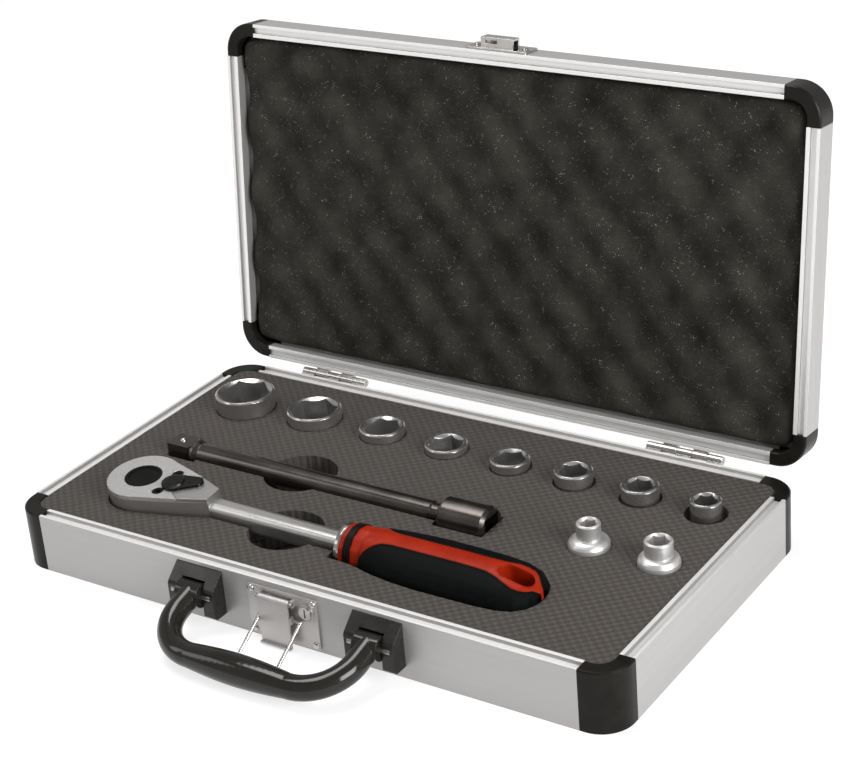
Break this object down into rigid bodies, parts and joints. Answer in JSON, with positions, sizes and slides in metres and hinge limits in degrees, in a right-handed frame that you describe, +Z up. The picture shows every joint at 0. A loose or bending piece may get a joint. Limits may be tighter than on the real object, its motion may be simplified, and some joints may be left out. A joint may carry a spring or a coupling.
{
  "type": "socket wrench set in case",
  "caption": "Metal-framed tool case with a hinged foam-lined lid, holding a ratchet wrench, an extension bar and sockets in a foam tray.",
  "frame": {"origin": "centre of the case's underside, on the surface the case stands on", "axes": "+Z up, +X to the right along the front of the case, front with handle and latch towards -Y, lid hinged at +Y"},
  "size_m": [0.37, 0.2949, 0.246],
  "materials": {
    "frame_aluminium": "brushed",
    "corner_plastic": "semi-gloss",
    "panel_board": "matt",
    "lid_board": "satin",
    "tray_foam": "matt, embossed",
    "lid_foam": "matt, open cells",
    "nickel": "nickel plated",
    "dark_pin": "plain",
    "bracket": "semi-gloss",
    "handle_plastic": "gloss",
    "satin_chrome": "satin",
    "bright_chrome": "polished",
    "gear_steel": "plain",
    "black_part": "satin",
    "red_grip": "satin",
    "black_pad": "matt"
  },
  "bodies": {
    "case": {"base_panel": "panel_board", "base_front_rail": "frame_aluminium", "base_back_rail": "frame_aluminium", "base_left_rail": "frame_aluminium", "base_right_rail": "frame_aluminium", "base_corner_fl": "corner_plastic", "base_corner_fr": "corner_plastic", "base_corner_bl": "corner_plastic", "base_corner_br": "corner_plastic", "foam_tray": "tray_foam", "foam_base": "tray_foam", "foam_spacers": "tray_foam", "hinge_base_leaves": "nickel", "hinge_pins": "dark_pin", "base_rivets": "nickel", "handle_bracket_left": "bracket", "handle_bracket_right": "bracket", "handle_pins": "dark_pin", "latch_plate": "nickel", "latch_ears": "nickel", "lock_bezel": "nickel", "latch_pin": "dark_pin"},
    "lid": {"lid_panel": "lid_board", "lid_front_rail": "frame_aluminium", "lid_back_rail": "frame_aluminium", "lid_left_rail": "frame_aluminium", "lid_right_rail": "frame_aluminium", "lid_corner_fl": "corner_plastic", "lid_corner_fr": "corner_plastic", "lid_corner_bl": "corner_plastic", "lid_corner_br": "corner_plastic", "lid_foam": "lid_foam", "hinge_lid_leaves": "nickel", "lid_rivets": "nickel", "lid_catch": "nickel"},
    "handle": {"carry_handle": "handle_plastic"},
    "latch": {"latch_lever": "nickel"},
    "bail": {"latch_bail": "nickel"},
    "lock": {"lock_barrel": "nickel"},
    "ratchet": {"ratchet_body": "satin_chrome", "ratchet_cover": "satin_chrome", "cover_screws": "black_part", "selector_pawl": "gear_steel", "grip_collar": "bright_chrome", "grip_core": "red_grip", "grip_pads": "black_pad", "grip_ring": "black_part"},
    "drive": {"drive_gear": "gear_steel", "drive_square": "gear_steel"},
    "direction_lever": {"reversing_lever": "black_part"},
    "button": {"release_button": "black_part"},
    "extension": {"extension_bar": "bright_chrome", "extension_ball": "bright_chrome"},
    "socket_27_body": {"socket_27": "bright_chrome"},
    "socket_24_body": {"socket_24": "bright_chrome"},
    "socket_19_body": {"socket_19": "bright_chrome"},
    "socket_17_body": {"socket_17": "bright_chrome"},
    "socket_16_body": {"socket_16": "bright_chrome"},
    "socket_14_body": {"socket_14": "bright_chrome"},
    "socket_13_body": {"socket_13": "bright_chrome"},
    "socket_11_body": {"socket_11": "bright_chrome"},
    "socket_8_body": {"socket_8": "bright_chrome"},
    "socket_10_body": {"socket_10": "bright_chrome"}
  },
  "joints": [
    {"name": "lid_hinge", "type": "hinge", "parent": "case", "child": "lid", "pos_m": [0, 0.105, 0.03415], "axis": [-1, 0, 0], "range_deg": [-96, 0], "deforming": ["lid_foam"]},
    {"name": "handle_swing", "type": "hinge", "parent": "case", "child": "handle", "pos_m": [0, -0.1095, 0.0195], "axis": [-1, 0, 0], "range_deg": [-57, 24]},
    {"name": "latch_swing", "type": "hinge", "parent": "case", "child": "latch", "pos_m": [0, -0.1057, 0.0265], "axis": [-1, 0, 0], "range_deg": [0, 90]},
    {"name": "bail_swing", "type": "hinge", "parent": "latch", "child": "bail", "pos_m": [0, -0.1043, 0.0165], "axis": [-1, 0, 0], "range_deg": [-58, 50]},
    {"name": "lock_turn", "type": "hinge", "parent": "case", "child": "lock", "pos_m": [0.0125, -0.1027, 0.0225], "axis": [0, -1, 0], "range_deg": [0, 90]},
    {"name": "ratchet_lift", "type": "slide", "parent": "case", "child": "ratchet", "axis": [0, 0, 1], "range_m": [0, 0.06]},
    {"name": "drive_spin", "type": "hinge", "parent": "ratchet", "child": "drive", "pos_m": [-0.128, -0.0552, 0.0336], "axis": [0, -0.0872, 0.9962], "continuous": true},
    {"name": "direction_turn", "type": "hinge", "parent": "ratchet", "child": "direction_lever", "pos_m": [-0.106, -0.0552, 0.0336], "axis": [0, -0.0872, 0.9962], "range_deg": [-50, 0]},
    {"name": "button_push", "type": "slide", "parent": "ratchet", "child": "button", "axis": [0, 0.0872, -0.9962], "range_m": [0, 0.0015], "stiffness_N_per_m": 600, "springref_m": -0.001},
    {"name": "extension_lift", "type": "slide", "parent": "case", "child": "extension", "axis": [0, 0, 1], "range_m": [0, 0.06]},
    {"name": "socket_27_lift", "type": "slide", "parent": "case", "child": "socket_27_body", "axis": [0, 0, 1], "range_m": [0, 0.06]},
    {"name": "socket_24_lift", "type": "slide", "parent": "case", "child": "socket_24_body", "axis": [0, 0, 1], "range_m": [0, 0.06]},
    {"name": "socket_19_lift", "type": "slide", "parent": "case", "child": "socket_19_body", "axis": [0, 0, 1], "range_m": [0, 0.06]},
    {"name": "socket_17_lift", "type": "slide", "parent": "case", "child": "socket_17_body", "axis": [0, 0, 1], "range_m": [0, 0.06]},
    {"name": "socket_16_lift", "type": "slide", "parent": "case", "child": "socket_16_body", "axis": [0, 0, 1], "range_m": [0, 0.06]},
    {"name": "socket_14_lift", "type": "slide", "parent": "case", "child": "socket_14_body", "axis": [0, 0, 1], "range_m": [0, 0.06]},
    {"name": "socket_13_lift", "type": "slide", "parent": "case", "child": "socket_13_body", "axis": [0, 0, 1], "range_m": [0, 0.06]},
    {"name": "socket_11_lift", "type": "slide", "parent": "case", "child": "socket_11_body", "axis": [0, 0, 1], "range_m": [0, 0.06]},
    {"name": "socket_8_lift", "type": "slide", "parent": "case", "child": "socket_8_body", "axis": [0, 0, 1], "range_m": [0, 0.06]},
    {"name": "socket_10_lift", "type": "slide", "parent": "case", "child": "socket_10_body", "axis": [0, 0, 1], "range_m": [0, 0.06]}
  ]
}
